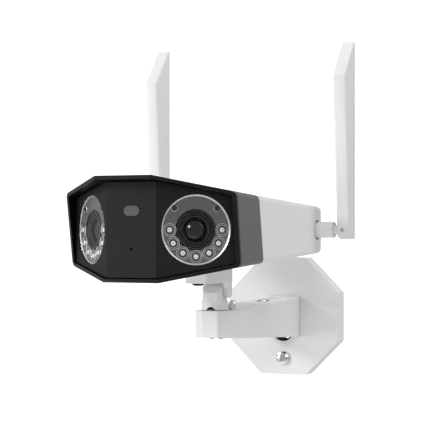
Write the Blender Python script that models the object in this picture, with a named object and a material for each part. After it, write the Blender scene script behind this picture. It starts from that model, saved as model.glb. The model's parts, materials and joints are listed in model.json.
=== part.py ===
"""Dual-lens outdoor security camera on a wall bracket, with two folding antennas.

Sizes are in millimetres and angles in degrees; add() turns finished meshes into metres. Each mesh is drawn
in the frame of the empty that carries it. In the head's frame X is the viewer's right, Y runs back from the
front panel and Z is up. The wall frame has its origin on the wall face, in the middle of the wall plate.
"""

import math

import bmesh
import bpy
from mathutils import Matrix, Vector

MM = 0.001
GAP = 0.3  # between pieces that touch
OVERLAP = 0.6  # how far joined shapes run into each other

# Head outline: half sizes of its octagon at the front panel and at the rear wall
HEAD_LENGTH = 167.0
FRONT_HALF_WIDTH = 52.2
REAR_HALF_WIDTH = 44.4
FRONT_SIDE_HALF_HEIGHT = 20.8
REAR_SIDE_HALF_HEIGHT = 13.8
FRONT_TOP_HALF_HEIGHT = 27.8
REAR_TOP_HALF_HEIGHT = 18.6
FRONT_FLAT_HALF = 16.3
REAR_FLAT_HALF = 12.3
CORNER_RADIUS = 3.0
CORNER_STEPS = 3

# Hood: black bezel, then a dark band, both cut by surfaces that lean forward at the top
RIM_AHEAD = 4.4
LEAN = 0.17
BEZEL_SPLAY = 39.9
HOOD_WALL = 2.0
LIP_DEPTH = 1.6  # of the bezel's lip, which covers the band's front edge
SLEEVE_WALL = 0.8  # of the bezel behind its lip, inside the band
SLEEVE_DEPTH = 12.0
BAND_LEAN = 0.2
BAND_END = 59.0
SPIGOT_LENGTH = 8.0
SPIGOT_WALL = 1.8
GASKET_THICK = 1.2
SHELL_WALL = 2.4
REAR_ROUNDING = 3.0

# Front panel: a middle facet and two splayed ones
PANEL_Y = 0.9
PANEL_THICK = 1.2
MIDDLE_HALF_WIDTH = 14.6
FACET_SPLAY = 38.0
EYE_DISTANCE = 21.6  # along the facet from its crease to the lens axis
WINDOW_RADIUS = 18.6
WINDOW_THICK = 0.7
WINDOW_RECESS = 0.2
PILL_HALF_WIDTH = 4.65
PILL_HALF_HEIGHT = 2.7
PILL_Z = 10.0
MIC_RADIUS = 0.8
MIC_Z = -10.2
MIC_BOOT_RADIUS = 3.0
STATUS_BOARD = (10.0, 17.0, 1.2)  # half width, half height, thickness
STATUS_BOARD_SETBACK = 2.6

# Optical stack behind each window
REFLECTOR_LAP = 1.9  # beyond the window's edge
REFLECTOR_THICK = 1.0
BARREL_RADIUS = 10.45
BARREL_REAR_RADIUS = 8.6
BARREL_BORE = 6.1
BARREL_STEP = 9.2
BARREL_LENGTH = 16.0
LED_COUNT = 7
LED_CIRCLE = 14.1
LED_BODY_RADIUS = 1.95
LED_DOME_RADIUS = 1.3
LED_HEIGHT = 1.5
BOARD_THICK = 1.2
REFLECTOR_SCREW_RADIUS = 1.5
REFLECTOR_SCREW_INSET = 0.9  # of its head from the window's edge
GLASS_SETBACK = 2.4
HOLDER_HALF = 12.0
HOLDER_LENGTH = 10.5
SENSOR_BOARD_HALF = 13.0
SENSOR_HALF = 4.0

# Electronics in the housing
MAIN_BOARD_HALF_WIDTH = 32.0
MAIN_BOARD_START = 66.0
MAIN_BOARD_END = 148.0
MAIN_BOARD_Z = -9.0
STANDOFF_RADIUS = 3.0
STANDOFF_INSET = 6.0
SPREADER_HALF = 15.0
SPREADER_BASE = 2.0
FIN_HEIGHT = 6.0
FIN_COUNT = 6
SPEAKER_RADIUS = 8.0
SPEAKER_HEIGHT = 3.6
SPEAKER_Y = 74.0
GRILLE_HOLE_RADIUS = 0.7
GRILLE_PITCH = 3.0

# Service cover in the underside, behind the yoke
SERVICE_Y = 136.0
COVER_HALF_LENGTH = 16.0
COVER_HALF_WIDTH = 9.0
COVER_THICK = 1.0
SERVICE_OPENING = (9.0, 5.5)  # half length, half width
SERVICE_SCREW_Y = 12.5
SERVICE_BOSS_HEIGHT = 5.0
SMALL_SCREW_RADIUS = 0.8
SMALL_HEAD_RADIUS = 1.7
SMALL_HEAD_HEIGHT = 0.8
RESET_RADIUS = 1.1
RESET_TRAVEL = 0.4

# Antennas
ANTENNA_Y = 157.0
RECESS_RADIUS = 6.1
STUB_RADIUS = 4.8
STUB_END = 55.9
STUB_INNER = 37.0
SOCKET_FLANGE_RADIUS = 7.0
SOCKET_FLANGE_THICK = 3.0
SOCKET_NOSE = 1.4
RETAINER_THICK = 1.2
FOLD_X = 62.0
FOLD_PIN_RADIUS = 0.8
TONGUE_RADIUS = 2.6
TONGUE_HALF_THICK = 1.7
BLADE_INNER_X = 58.5
BLADE_THICK = 7.9
BLADE_BOTTOM_Z = -5.6
BLADE_SHOULDER_Z = 92.0
BLADE_TOP_Z = 113.7
BLADE_REAR_Y = 164.5
BLADE_DEPTH_BOTTOM = 11.0
BLADE_DEPTH_SHOULDER = 18.7
BLADE_CHAMFER = 2.2  # of its bottom inner edge
BLADE_TIP_DEPTH = 2.0
BLADE_EDGE = 1.1  # chamfer of its inner front edges

# Yoke under the head and tilt pivot
YOKE_FRONT = 81.6
YOKE_REAR = 114.6
YOKE_HALF_WIDTH = 9.0
YOKE_CHAMFER = 3.3
YOKE_THICK = 7.6
PIVOT_Y = 107.8
PIVOT_BELOW_YOKE = 4.7
EAR_RADIUS = 3.4
EAR_INSET = 0.2  # of its outer face from the yoke's side
EAR_DROP = 0.9  # of its round end below the pivot
EAR_GUSSET = 1.5  # how far its root spreads forward
TILT_BOLT_RADIUS = 1.25
TILT_HEAD_RADIUS = 2.4
TILT_HEAD_HEIGHT = 1.5
TILT_NUT_RADIUS = 2.3
TILT_NUT_HEIGHT = 1.4
YOKE_SCREWS = ((4.6, 88.0), (-4.0, 109.0))
YOKE_SCREW_RADIUS = 1.0
YOKE_SCREW_HEAD = 2.2
GLAND_PLACE = (-3.9, 91.0)
GLAND_RADIUS = 3.7
GLAND_DROP = 1.5
GLAND_BORE = 1.6

# Swivel post
POST_RADIUS = 7.9
POST_SHOULDER = 4.6  # top of its round part, above the arm's top
POST_BLEND = 2.0  # height over which the round part turns into the block
PIVOT_LIFT = 11.6  # tilt axis above the arm's top
PIVOT_SETBACK = 2.0  # tilt axis behind the swivel axis
POST_FRONT = -7.3
POST_BACK = 5.6
POST_LEFT = -6.7
POST_RIGHT = 5.9
POST_TOP_RADIUS = 4.3
POST_CHAMFER = 3.8
TILT_DOWN = 35.0  # how far the head can nod before the yoke meets the post
CABLE_NOTCH_RADIUS = 3.2
CABLE_NOTCH_CENTRE = (0.7, -0.9)
CABLE_NOTCH_DEPTH = 3.0
CABLE_PLUG_THICK = 1.4
SPIGOT_RADIUS = 4.3
PAN_PLATE_RADIUS = 5.6
PAN_PLATE_THICK = 5.4
PAN_SCREW_PLACE = (2.9, 2.2)
PAN_SCREW_RADIUS = 0.7
PAN_SCREW_BITE = 4.5  # into the post

# Bracket arm, in the wall frame
POST_REACH = 117.8
ARM_END_OVERHANG = 7.8
ARM_HALF_WIDTH = 11.7
ARM_END_HALF = 5.25
ARM_CHAMFER = 5.6
ARM_TOP_Z = 8.8
ARM_FLAT_LENGTH = 18.0
ARM_ROOT_TOP_Z = 12.7
ARM_END_BOTTOM_Z = -7.0
ARM_ROOT_BOTTOM_Z = -13.3
ARM_EDGE = 0.5
CHANNEL_HALF_WIDTH = 7.2
CHANNEL_ROOF = 3.3
CHANNEL_START = 14.0  # behind the swivel axis
PAN_SHELF = 9.6
ACORN_BEARING = 40.0  # of the acorn nut from the swivel axis, behind its right
ACORN_CLEARANCE = 0.5  # between it and the post
ACORN_RADIUS = 2.3
ACORN_HEIGHT = 6.0
ACORN_SHANK = 1.0
POCKET_FROM_WALL = 37.6
POCKET_HALF_LENGTH = 17.0
POCKET_HALF_WIDTH = 6.0
POCKET_DEPTH = 1.2
POCKET_SCREW_FORWARD = 7.0
POCKET_SCREW_HEAD = 4.0
POCKET_SCREW_SHANK = 1.6

# Wall plate and its cover
PLATE_ACROSS_FLATS = 76.0
COVER_DEPTH = 11.5
COVER_WALL = 2.5
WALL_PLATE_THICK = 3.0
CABLE_HOLE_RADIUS = 7.4
CABLE_HOLE_Z = -9.1
COLLAR_WALL = 1.6
GROMMET_WALL = 0.8
LOCK_SCREW_Z = -27.5
LOCK_HEAD_RADIUS = 4.5
LOCK_HEAD_HEIGHT = 2.6
LOCK_SHANK_RADIUS = 1.9
LOCK_BOSS_RADIUS = 4.2
WALL_HOLE_RADIUS = 2.4
WALL_HOLE_SPREAD = (22.0, 20.0)
ARM_SCREW_RADIUS = 1.0
ARM_SCREW_HEAD = 1.9
ARM_SCREW_BITE = 11.0

ROUND = 32  # segments of a large round piece
SMALL_ROUND = 16


# ---------------------------------------------------------------- outlines
def circle(radius, count=ROUND, centre=(0.0, 0.0), phase=0.0):
    steps = [2 * math.pi * i / count + phase for i in range(count)]
    return [(centre[0] + radius * math.cos(a), centre[1] + radius * math.sin(a)) for a in steps]


def polygon(sides, across_flats):
    """Regular polygon standing on a flat."""
    reach = across_flats / 2 / math.cos(math.pi / sides)
    angles = [math.pi * (2 * i + 1) / sides - math.pi / 2 for i in range(sides)]
    return [(reach * math.cos(a), reach * math.sin(a)) for a in angles]


def rectangle(half_a, half_b, centre=(0.0, 0.0)):
    a, b = centre
    signs = ((-1, -1), (1, -1), (1, 1), (-1, 1))
    return [(a + half_a * p, b + half_b * q) for p, q in signs]


def stadium(half_a, half_b, count=8):
    """Slot outline, longer along its first axis."""
    reach = half_a - half_b
    points = []
    for end, start in ((reach, -math.pi / 2), (-reach, math.pi / 2)):
        for i in range(count + 1):
            turn = start + math.pi * i / count
            points.append((end + half_b * math.cos(turn), half_b * math.sin(turn)))
    return points


def inset_outline(points, inset):
    """Convex outline with each edge moved in by inset."""
    middle = sum((Vector(p) for p in points), Vector((0.0, 0.0))) / len(points)
    lines = []
    for here, there in zip(points, points[1:] + points[:1]):
        along = (Vector(there) - Vector(here)).normalized()
        inward = Vector((-along.y, along.x))
        if inward.dot(middle - Vector(here)) < 0:
            inward.negate()
        lines.append((Vector(here) + inward * inset, along))
    corners = []
    for (p, d), (q, e) in zip(lines[-1:] + lines[:-1], lines):
        reach = (q - p).cross(e) / d.cross(e)
        corners.append(tuple(p + d * reach))
    return corners


def rounded(points, radius, steps=CORNER_STEPS):
    """Outline with an arc at each corner."""
    soft = []
    for before, here, after in zip(points[-1:] + points[:-1], points, points[1:] + points[:1]):
        corner = Vector(here)
        a = (Vector(before) - corner).normalized()
        b = (Vector(after) - corner).normalized()
        half = a.angle(b) / 2
        centre = corner + (a + b).normalized() * (radius / math.sin(half))
        start = corner + a * (radius / math.tan(half)) - centre
        end = corner + b * (radius / math.tan(half)) - centre
        sweep = start.angle_signed(end)
        for i in range(steps + 1):
            soft.append(tuple(centre + Matrix.Rotation(-sweep * i / steps, 2) @ start))
    return soft


# ---------------------------------------------------------------- solids
def loft(rings, ring_shaped=False):
    """Skin through rings of points; ring_shaped joins the last ring to the first instead of capping both."""
    bm = bmesh.new()
    rows = [[bm.verts.new(p) for p in ring] for ring in rings]
    pairs = list(zip(rows, rows[1:]))
    if ring_shaped:
        pairs.append((rows[-1], rows[0]))
    for low, high in pairs:
        for i in range(len(low)):
            j = (i + 1) % len(low)
            bm.faces.new((low[i], low[j], high[j], high[i]))
    if not ring_shaped:
        bm.faces.new(rows[0])
        bm.faces.new(rows[-1])
    bmesh.ops.recalc_face_normals(bm, faces=bm.faces)
    return bm


def placed(outline, level, axis):
    """Outline in the plane across an axis: (y, z) for X, (x, z) for Y and (x, y) for Z."""
    if axis == "X":
        return [Vector((level, a, b)) for a, b in outline]
    if axis == "Y":
        return [Vector((a, level, b)) for a, b in outline]
    return [Vector((a, b, level)) for a, b in outline]


def prism(outline, low, high, axis="Z"):
    return loft([placed(outline, low, axis), placed(outline, high, axis)])


def turned(profile, axis="Z", centre=(0.0, 0.0), count=ROUND, hollow=False):
    """Solid of revolution through (radius, level) pairs; hollow closes the profile on itself."""
    rings = [placed(circle(radius, count, centre), level, axis) for radius, level in profile]
    return loft(rings, ring_shaped=hollow)


def gathered(solids):
    """Several separate solids in one mesh, for one Boolean."""
    whole = bmesh.new()
    for bm in solids:
        mesh = bpy.data.meshes.new("gathered")
        bm.to_mesh(mesh)
        bm.free()
        whole.from_mesh(mesh)
        bpy.data.meshes.remove(mesh)
    return whole


# ---------------------------------------------------------------- objects
def clear_scene():
    for obj in list(bpy.data.objects):
        bpy.data.objects.remove(obj, do_unlink=True)


def material(name, colour, roughness, metallic=0.0):
    mat = bpy.data.materials.new(name)
    mat.use_nodes = True
    shader = mat.node_tree.nodes["Principled BSDF"]
    shader.inputs["Base Color"].default_value = (*colour, 1.0)
    shader.inputs["Roughness"].default_value = roughness
    shader.inputs["Metallic"].default_value = metallic
    return mat


def frame(name, location, parent=None, rotation=(0.0, 0.0, 0.0)):
    """Empty that carries pieces; its location is in millimetres in its parent's frame."""
    empty = bpy.data.objects.new(name, None)
    bpy.context.scene.collection.objects.link(empty)
    empty.location = Vector(location) * MM
    empty.rotation_euler = rotation
    empty.parent = parent
    return empty


def add(name, bm, parent, mat=None, bevel=0.0):
    """Object from a solid drawn in its parent's frame; without a material it is a helper for a Boolean."""
    bmesh.ops.recalc_face_normals(bm, faces=bm.faces)
    bmesh.ops.scale(bm, vec=(MM, MM, MM), verts=bm.verts)
    mesh = bpy.data.meshes.new(name)
    bm.to_mesh(mesh)
    bm.free()
    mesh.shade_smooth()
    mesh.set_sharp_from_angle(angle=math.radians(32))
    obj = bpy.data.objects.new(name, mesh)
    bpy.context.scene.collection.objects.link(obj)
    obj.parent = parent
    if mat:
        mesh.materials.append(mat)
    else:
        obj.hide_render = True
        obj.display_type = "WIRE"
    if bevel:
        edge = obj.modifiers.new("edges", "BEVEL")
        edge.width = bevel * MM
        edge.segments = 2
        edge.limit_method = "ANGLE"
        edge.angle_limit = math.radians(32)
    return obj


def combine(target, operation, bm, parent=None):
    """Boolean of a target with a helper drawn in the target's frame, or in another parent's."""
    label = f"{target.name}.{operation.lower()}.{len(target.modifiers)}"
    helper = add(label, bm, parent or target.parent)
    step = target.modifiers.new(label, "BOOLEAN")
    step.operation = operation
    step.object = helper


def cut(target, bm, parent=None):
    combine(target, "DIFFERENCE", bm, parent)


def join(target, bm, parent=None):
    combine(target, "UNION", bm, parent)


# ---------------------------------------------------------------- head outline
def between(front, rear, y):
    return front + (rear - front) * y / HEAD_LENGTH


def half_width(y):
    return between(FRONT_HALF_WIDTH, REAR_HALF_WIDTH, y)


def top_half_height(y):
    return between(FRONT_TOP_HALF_HEIGHT, REAR_TOP_HALF_HEIGHT, y)


def head_corners(surface):
    """The eight (x, z) corners of the head where a surface y = surface(x, z) cuts it."""
    corners = []
    for right, up, outer in (
        (-1, 1, False), (1, 1, False), (1, 1, True), (1, -1, True),
        (1, -1, False), (-1, -1, False), (-1, -1, True), (-1, 1, True),
    ):
        y = 0.0
        for _ in range(4):
            if outer:
                x = half_width(y)
                z = between(FRONT_SIDE_HALF_HEIGHT, REAR_SIDE_HALF_HEIGHT, y)
            else:
                x = between(FRONT_FLAT_HALF, REAR_FLAT_HALF, y)
                z = top_half_height(y)
            y = surface(right * x, up * z)
        corners.append((right * x, up * z))
    return corners


def head_ring(surface, inset=0.0):
    outline = inset_outline(head_corners(surface), inset)
    soft = rounded(outline, max(CORNER_RADIUS - inset, 0.8))
    return [Vector((x, surface(x, z), z)) for x, z in soft]


def rim_surface(back):
    slope = math.tan(math.radians(BEZEL_SPLAY))
    return lambda x, z: back - RIM_AHEAD + max(0.0, abs(x) - FRONT_FLAT_HALF) * slope - LEAN * z


def band_surface(back):
    return lambda x, z: BAND_END + back - BAND_LEAN * z


def upright(y):
    return lambda x, z: y


def underside(x, y):
    """Height of the head's outer underside."""
    flat = between(FRONT_FLAT_HALF, REAR_FLAT_HALF, y)
    side = between(FRONT_SIDE_HALF_HEIGHT, REAR_SIDE_HALF_HEIGHT, y)
    slope = (top_half_height(y) - side) / (half_width(y) - flat)
    return -(top_half_height(y) - slope * max(0.0, abs(x) - flat))


UNDERSIDE_SLOPE = math.atan((FRONT_TOP_HALF_HEIGHT - REAR_TOP_HALF_HEIGHT) / HEAD_LENGTH)
EAR_INNER_X = POST_RIGHT + GAP
YOKE_BOTTOM = underside(0, YOKE_FRONT) - YOKE_THICK
PIVOT_Z = YOKE_BOTTOM - PIVOT_BELOW_YOKE
PLATE_OUTLINE = polygon(8, PLATE_ACROSS_FLATS)
ARM_END_Y = -(POST_REACH + ARM_END_OVERHANG)
ARM_ROOT_Y = -(COVER_DEPTH + GAP)
PANEL_BACK = PANEL_Y + PANEL_THICK


def arm_top(y):
    """Height of the arm's upper face in the wall frame."""
    start = ARM_END_Y + ARM_FLAT_LENGTH
    share = max(0.0, (y - start) / (ARM_ROOT_Y - start))
    return ARM_TOP_Z + (ARM_ROOT_TOP_Z - ARM_TOP_Z) * share


# ---------------------------------------------------------------- frames
clear_scene()
wall = frame("wall_frame", (0, 0, 0))
pan_axis = frame("pan_axis", (0, -POST_REACH, ARM_TOP_Z), wall)
tilt_axis = frame("tilt_axis", (0, PIVOT_SETBACK, PIVOT_LIFT), pan_axis)
head = frame("head_frame", (0, -PIVOT_Y, -PIVOT_Z), tilt_axis)
SIDES = (("right", 1), ("left", -1))

black = material("black_gloss", (0.012, 0.012, 0.013), 0.25)
charcoal = material("charcoal", (0.035, 0.035, 0.037), 0.35)
band_grey = material("band_grey", (0.14, 0.14, 0.145), 0.4)
white = material("white_plastic", (0.82, 0.82, 0.82), 0.42)
bracket_white = material("bracket_white", (0.78, 0.78, 0.78), 0.45)
clear = material("clear_window", (0.85, 0.87, 0.88), 0.05)
reflector_grey = material("reflector_grey", (0.32, 0.32, 0.33), 0.35)
board_green = material("board_green", (0.02, 0.12, 0.06), 0.5)
board_white = material("board_white", (0.75, 0.75, 0.74), 0.45)
lens_black = material("lens_black", (0.02, 0.02, 0.022), 0.4)
lens_glass = material("lens_glass", (0.1, 0.1, 0.14), 0.03)
rubber = material("rubber", (0.015, 0.015, 0.015), 0.8)
chrome = material("chrome", (0.8, 0.8, 0.8), 0.08, 1.0)
dark_screw = material("dark_screw", (0.05, 0.05, 0.05), 0.4, 0.8)
steel = material("steel", (0.55, 0.55, 0.56), 0.3, 1.0)
aluminium = material("aluminium", (0.7, 0.7, 0.71), 0.35, 1.0)
diffuser = material("diffuser", (0.7, 0.7, 0.68), 0.3)


# ---------------------------------------------------------------- hood and housing
def build_hood():
    seam = GAP / math.cos(math.radians(BEZEL_SPLAY))
    lap = HOOD_WALL - SLEEVE_WALL
    bezel = [
        head_ring(rim_surface(0)),
        head_ring(rim_surface(LIP_DEPTH)),
        head_ring(rim_surface(LIP_DEPTH), lap),
        head_ring(rim_surface(SLEEVE_DEPTH), lap),
        head_ring(rim_surface(SLEEVE_DEPTH), HOOD_WALL),
        head_ring(rim_surface(0), HOOD_WALL),
    ]
    add("front_bezel", loft(bezel, ring_shaped=True), head, black)
    band = [
        head_ring(rim_surface(LIP_DEPTH + seam)),
        head_ring(band_surface(0)),
        head_ring(band_surface(0), HOOD_WALL),
        head_ring(rim_surface(SLEEVE_DEPTH + seam), HOOD_WALL),
        head_ring(rim_surface(SLEEVE_DEPTH + seam), lap - GAP),
        head_ring(rim_surface(LIP_DEPTH + seam), lap - GAP),
    ]
    add("hood_band", loft(band, ring_shaped=True), head, band_grey)
    outer = HOOD_WALL + GAP
    inner = outer + SPIGOT_WALL
    front = -SPIGOT_LENGTH - GAP - GASKET_THICK
    gasket = [
        head_ring(band_surface(front), outer),
        head_ring(band_surface(front + GASKET_THICK), outer),
        head_ring(band_surface(front + GASKET_THICK), inner),
        head_ring(band_surface(front), inner),
    ]
    add("housing_gasket", loft(gasket, ring_shaped=True), head, rubber)


def build_panel():
    slope = math.tan(math.radians(FACET_SPLAY))
    reach = FRONT_HALF_WIDTH + HOOD_WALL
    back_crease = MIDDLE_HALF_WIDTH - PANEL_THICK * math.tan(math.radians(FACET_SPLAY / 2))
    side_y = PANEL_Y + (reach - MIDDLE_HALF_WIDTH) * slope
    back_y = PANEL_BACK + (reach - back_crease) * slope
    plan = [
        (-reach, side_y), (-MIDDLE_HALF_WIDTH, PANEL_Y), (MIDDLE_HALF_WIDTH, PANEL_Y), (reach, side_y),
        (reach, back_y), (back_crease, PANEL_BACK), (-back_crease, PANEL_BACK), (-reach, back_y),
    ]
    tall = FRONT_TOP_HALF_HEIGHT
    panel = add("front_panel", prism(plan, -tall, tall), head, charcoal)
    inside = [head_ring(upright(y), HOOD_WALL + 2 * GAP) for y in (-BAND_END, BAND_END)]
    combine(panel, "INTERSECT", loft(inside))
    pill = stadium(PILL_HALF_WIDTH + GAP, PILL_HALF_HEIGHT + GAP)
    pill = [(x, z + PILL_Z) for x, z in pill]
    sound_hole = circle(MIC_RADIUS, SMALL_ROUND, (0, MIC_Z))
    before, after = PANEL_Y - OVERLAP, PANEL_BACK + OVERLAP
    cut(panel, gathered([prism(pill, before, after, "Y"), prism(sound_hole, before, after, "Y")]))
    return panel


def build_status_parts():
    pill = [(x, z + PILL_Z) for x, z in stadium(PILL_HALF_WIDTH, PILL_HALF_HEIGHT)]
    board_y = PANEL_BACK + STATUS_BOARD_SETBACK
    add("status_window", prism(pill, PANEL_Y + WINDOW_RECESS, board_y - GAP, "Y"), head, diffuser)
    low, high = PANEL_BACK + GAP, board_y - GAP
    boot = turned(
        [(MIC_RADIUS, low), (MIC_BOOT_RADIUS, low), (MIC_BOOT_RADIUS, high), (MIC_RADIUS, high)],
        "Y", (0, MIC_Z), SMALL_ROUND, hollow=True,
    )
    add("mic_boot", boot, head, rubber)
    half_a, half_b, thick = STATUS_BOARD
    outline = rectangle(half_a, half_b)
    board = add("status_board", prism(outline, board_y, board_y + thick, "Y"), head, board_green)
    chips = [
        prism(rectangle(2.0, 1.5, (0, MIC_Z)), board_y + thick - OVERLAP, board_y + thick + 1.0, "Y"),
        prism(rectangle(6.0, 2.5, (0, 0)), board_y + thick - OVERLAP, board_y + thick + 3.0, "Y"),
    ]
    join(board, gathered(chips))


def standoff_places():
    x = MAIN_BOARD_HALF_WIDTH - STANDOFF_INSET
    ends = (MAIN_BOARD_START + STANDOFF_INSET, MAIN_BOARD_END - STANDOFF_INSET)
    return [(s * x, y) for s in (1, -1) for y in ends]


def build_shell():
    spigot_out = HOOD_WALL + GAP
    spigot_in = spigot_out + SPIGOT_WALL
    rings = [
        head_ring(upright(HEAD_LENGTH - SHELL_WALL), SHELL_WALL),
        head_ring(band_surface(spigot_in), SHELL_WALL),
        head_ring(band_surface(GAP), spigot_in),
        head_ring(band_surface(-SPIGOT_LENGTH), spigot_in),
        head_ring(band_surface(-SPIGOT_LENGTH), spigot_out),
        head_ring(band_surface(GAP), spigot_out),
        head_ring(band_surface(GAP)),
        head_ring(upright(HEAD_LENGTH - REAR_ROUNDING)),
        head_ring(upright(HEAD_LENGTH - 0.3 * REAR_ROUNDING), 0.3 * REAR_ROUNDING),
        head_ring(upright(HEAD_LENGTH), REAR_ROUNDING),
    ]
    shell = add("housing_shell", loft(rings), head, white)

    posts = []
    for x, y in standoff_places():
        foot = underside(x, y) + SHELL_WALL / 2
        posts.append(prism(circle(STANDOFF_RADIUS, SMALL_ROUND, (x, y)), foot, MAIN_BOARD_Z - GAP))
    floor = underside(0, SPEAKER_Y) + SHELL_WALL
    outer, inner = SPEAKER_RADIUS + GAP + 1.5, SPEAKER_RADIUS + GAP
    foot = underside(0, SPEAKER_Y + outer) + SHELL_WALL / 2 - 1.0
    rim = floor + SPEAKER_HEIGHT
    profile = [(inner, foot), (outer, foot), (outer, rim), (inner, rim)]
    posts.append(turned(profile, "Z", (0, SPEAKER_Y), hollow=True))
    join(shell, gathered(posts))

    holes = [prism(circle(RECESS_RADIUS, ROUND, (ANTENNA_Y, 0)), s * half_width(HEAD_LENGTH) - 9,
                   s * half_width(HEAD_LENGTH) + 9, "X") for _, s in SIDES]
    deep = underside(0, YOKE_FRONT) - OVERLAP
    high = underside(0, YOKE_REAR) + SHELL_WALL + 1.5
    for x, y in YOKE_SCREWS:
        holes.append(prism(circle(YOKE_SCREW_RADIUS + GAP, SMALL_ROUND, (x, y)), deep, high))
    holes.append(prism(circle(GLAND_RADIUS + GAP, SMALL_ROUND, GLAND_PLACE), deep, high))
    grille = [(0.0, SPEAKER_Y)] + circle(GRILLE_PITCH, 6, (0, SPEAKER_Y))
    for x, y in grille:
        holes.append(prism(circle(GRILLE_HOLE_RADIUS, 8, (x, y)), floor - SHELL_WALL - 2, floor + 1.2))
    cut(shell, gathered(holes))

    pocket = rounded(rectangle(COVER_HALF_WIDTH, COVER_HALF_LENGTH), 2.0)
    bosses = []
    opening = rectangle(*SERVICE_OPENING[::-1])
    drilled = [prism(pocket, -1.0, COVER_THICK + GAP), prism(opening, -1, 2 * SHELL_WALL)]
    for y in (SERVICE_SCREW_Y, -SERVICE_SCREW_Y):
        bosses.append(prism(circle(2.6, SMALL_ROUND, (0, y)), SHELL_WALL - OVERLAP, SERVICE_BOSS_HEIGHT))
        bore = circle(SMALL_SCREW_RADIUS + GAP, SMALL_ROUND, (0, y))
        drilled.append(prism(bore, COVER_THICK, SERVICE_BOSS_HEIGHT + OVERLAP))
    join(shell, gathered(bosses), service)
    cut(shell, drilled[0], service)
    cut(shell, gathered(drilled[1:]), service)
    return shell


# ---------------------------------------------------------------- optics
def ring_place(radius, degrees):
    turn = math.radians(degrees)
    return (radius * math.cos(turn), radius * math.sin(turn))


def build_optics(side, sign, panel):
    """Lens stack along +Y of a frame on the facet's outer face."""
    splay = math.radians(FACET_SPLAY)
    along = Vector((math.cos(splay), math.sin(splay), 0)) * EYE_DISTANCE
    spot = Vector((MIDDLE_HALF_WIDTH + along.x, PANEL_Y + along.y, 0))
    eye = frame(f"optics_{side}", (sign * spot.x, spot.y, 0), head, (0, 0, sign * splay))

    cut(panel, prism(circle(WINDOW_RADIUS + GAP, 48), -OVERLAP, PANEL_THICK + OVERLAP, "Y"), eye)
    window = prism(circle(WINDOW_RADIUS, 48), WINDOW_RECESS, WINDOW_RECESS + WINDOW_THICK, "Y")
    add(f"lens_window_{side}", window, eye, clear)

    leds = [ring_place(LED_CIRCLE, 180 + 180 * i / (LED_COUNT - 1)) for i in range(LED_COUNT)]
    screw_circle = WINDOW_RADIUS - REFLECTOR_SCREW_INSET - REFLECTOR_SCREW_RADIUS
    screws = [ring_place(screw_circle, a) for a in (45, 135)]
    front = PANEL_THICK + GAP
    back = front + REFLECTOR_THICK
    hole = BARREL_RADIUS + GAP
    rim = WINDOW_RADIUS + REFLECTOR_LAP
    plate = turned([(hole, front), (rim, front), (rim, back), (hole, back)], "Y", hollow=True)
    plate = add(f"reflector_{side}", plate, eye, reflector_grey)
    cups = [prism(circle(LED_BODY_RADIUS + GAP, SMALL_ROUND, p, 0.1), front - 1, back + 1, "Y") for p in leds]
    cut(plate, gathered(cups))
    heads = [prism(circle(REFLECTOR_SCREW_RADIUS, 12, p), front - 0.3, front + 0.5, "Y") for p in screws]
    join(plate, gathered(heads))

    board_front = back + GAP
    board_back = board_front + BOARD_THICK
    edge = rim - 0.5
    board = turned([(hole, board_front), (edge, board_front), (edge, board_back), (hole, board_back)],
                   "Y", hollow=True)
    board = add(f"ir_board_{side}", board, eye, board_white)
    tip = board_front - LED_HEIGHT
    lamp = [
        (LED_BODY_RADIUS, board_front + 0.6),
        (LED_BODY_RADIUS, tip + 0.7),
        (LED_DOME_RADIUS, tip + 0.7),
        (LED_DOME_RADIUS * 0.75, tip + 0.2),
        (LED_DOME_RADIUS * 0.3, tip),
    ]
    lamps = [turned(lamp, "Y", p, 12) for p in leds]
    join(board, gathered(lamps))

    nose = front - 0.1
    rear = nose + BARREL_LENGTH
    step = nose + BARREL_STEP - PANEL_THICK
    glass_front = nose + GLASS_SETBACK
    barrel = turned(
        [
            (BARREL_RADIUS, nose), (BARREL_RADIUS, step), (BARREL_REAR_RADIUS, step),
            (BARREL_REAR_RADIUS, rear), (BARREL_BORE, rear), (BARREL_BORE, glass_front - 0.6),
            (BARREL_BORE + 0.6, glass_front - 0.6), (BARREL_BORE + 1.9, nose + 1.4),
            (BARREL_RADIUS - 1.1, nose + 0.8), (BARREL_RADIUS - 0.9, nose),
        ],
        "Y", hollow=True,
    )
    add(f"lens_barrel_{side}", barrel, eye, lens_black)
    lens_radius = BARREL_BORE - GAP
    bulge = 1.6
    lens = [(lens_radius, glass_front + 4.0)]
    for i in range(4):
        turn = math.pi / 2 * i / 4
        lens.append((lens_radius * math.cos(turn), glass_front + bulge * (1 - math.sin(turn))))
    add(f"lens_glass_{side}", turned(lens, "Y"), eye, lens_glass)

    base = step + GAP
    outline = rectangle(HOLDER_HALF, HOLDER_HALF)
    holder = add(f"lens_holder_{side}", prism(outline, base, base + HOLDER_LENGTH, "Y"),
                 eye, lens_black)
    cut(holder, prism(circle(BARREL_REAR_RADIUS + GAP), base - 1, base + HOLDER_LENGTH + 1, "Y"))
    sensor_y = max(base + HOLDER_LENGTH, rear) + GAP
    half = SENSOR_BOARD_HALF
    sensor = add(f"sensor_board_{side}", prism(rectangle(half, half), sensor_y, sensor_y + BOARD_THICK, "Y"),
                 eye, board_green)
    parts = [prism(rectangle(SENSOR_HALF, SENSOR_HALF), rear + GAP, sensor_y + 0.5, "Y")]
    plug_y = sensor_y + BOARD_THICK
    parts.append(prism(rectangle(6, 2, (0, -8)), plug_y - 0.5, plug_y + 2, "Y"))
    join(sensor, gathered(parts))


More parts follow.
